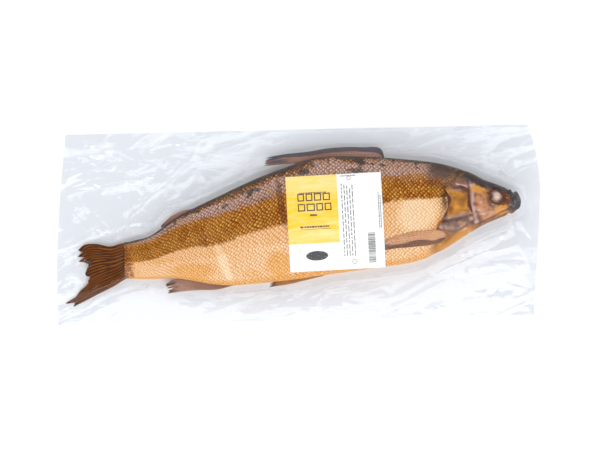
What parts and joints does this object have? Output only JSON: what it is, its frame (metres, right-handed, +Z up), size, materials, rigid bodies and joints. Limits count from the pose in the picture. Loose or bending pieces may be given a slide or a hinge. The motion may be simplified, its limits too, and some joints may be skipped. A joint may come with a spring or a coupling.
{
  "type": "smoked whitefish",
  "caption": "Whole hot-smoked whitefish lying on its side, folded fins and all, vacuum-packed in a clear flat pouch with a square paper label.",
  "frame": {"origin": "middle of the pouch's footprint, on the surface that the pouch lies on", "axes": "+X along the pouch's long edges towards the fish's head, +Y across the pouch towards the fish's back, +Z up, out of the fish's right flank"},
  "size_m": [0.4839, 0.1906, 0.0407],
  "materials": {
    "smoked_skin": "golden-brown smoked skin with scales, glossy under the film",
    "gill_cover": "smooth golden-brown bony plate",
    "fin": "dried dark brown fin with rays",
    "eye": "clouded cooked eye",
    "film": "clear glossy vacuum film",
    "label": "satin white paper with a yellow panel"
  },
  "bodies": {
    "root": {"fish_body": "smoked_skin", "tail_fin": "fin", "dorsal_fin": "fin", "adipose_fin": "fin", "anal_fin": "fin", "pectoral_fin_right": "fin", "pectoral_fin_left": "fin", "pelvic_fin_right": "fin", "pelvic_fin_left": "fin", "eye_right": "eye", "eye_left": "eye", "gill_cover_right": "gill_cover", "gill_cover_left": "gill_cover", "pouch_film_top": "film", "pouch_film_bottom": "film", "label": "label"}
  },
  "joints": []
}
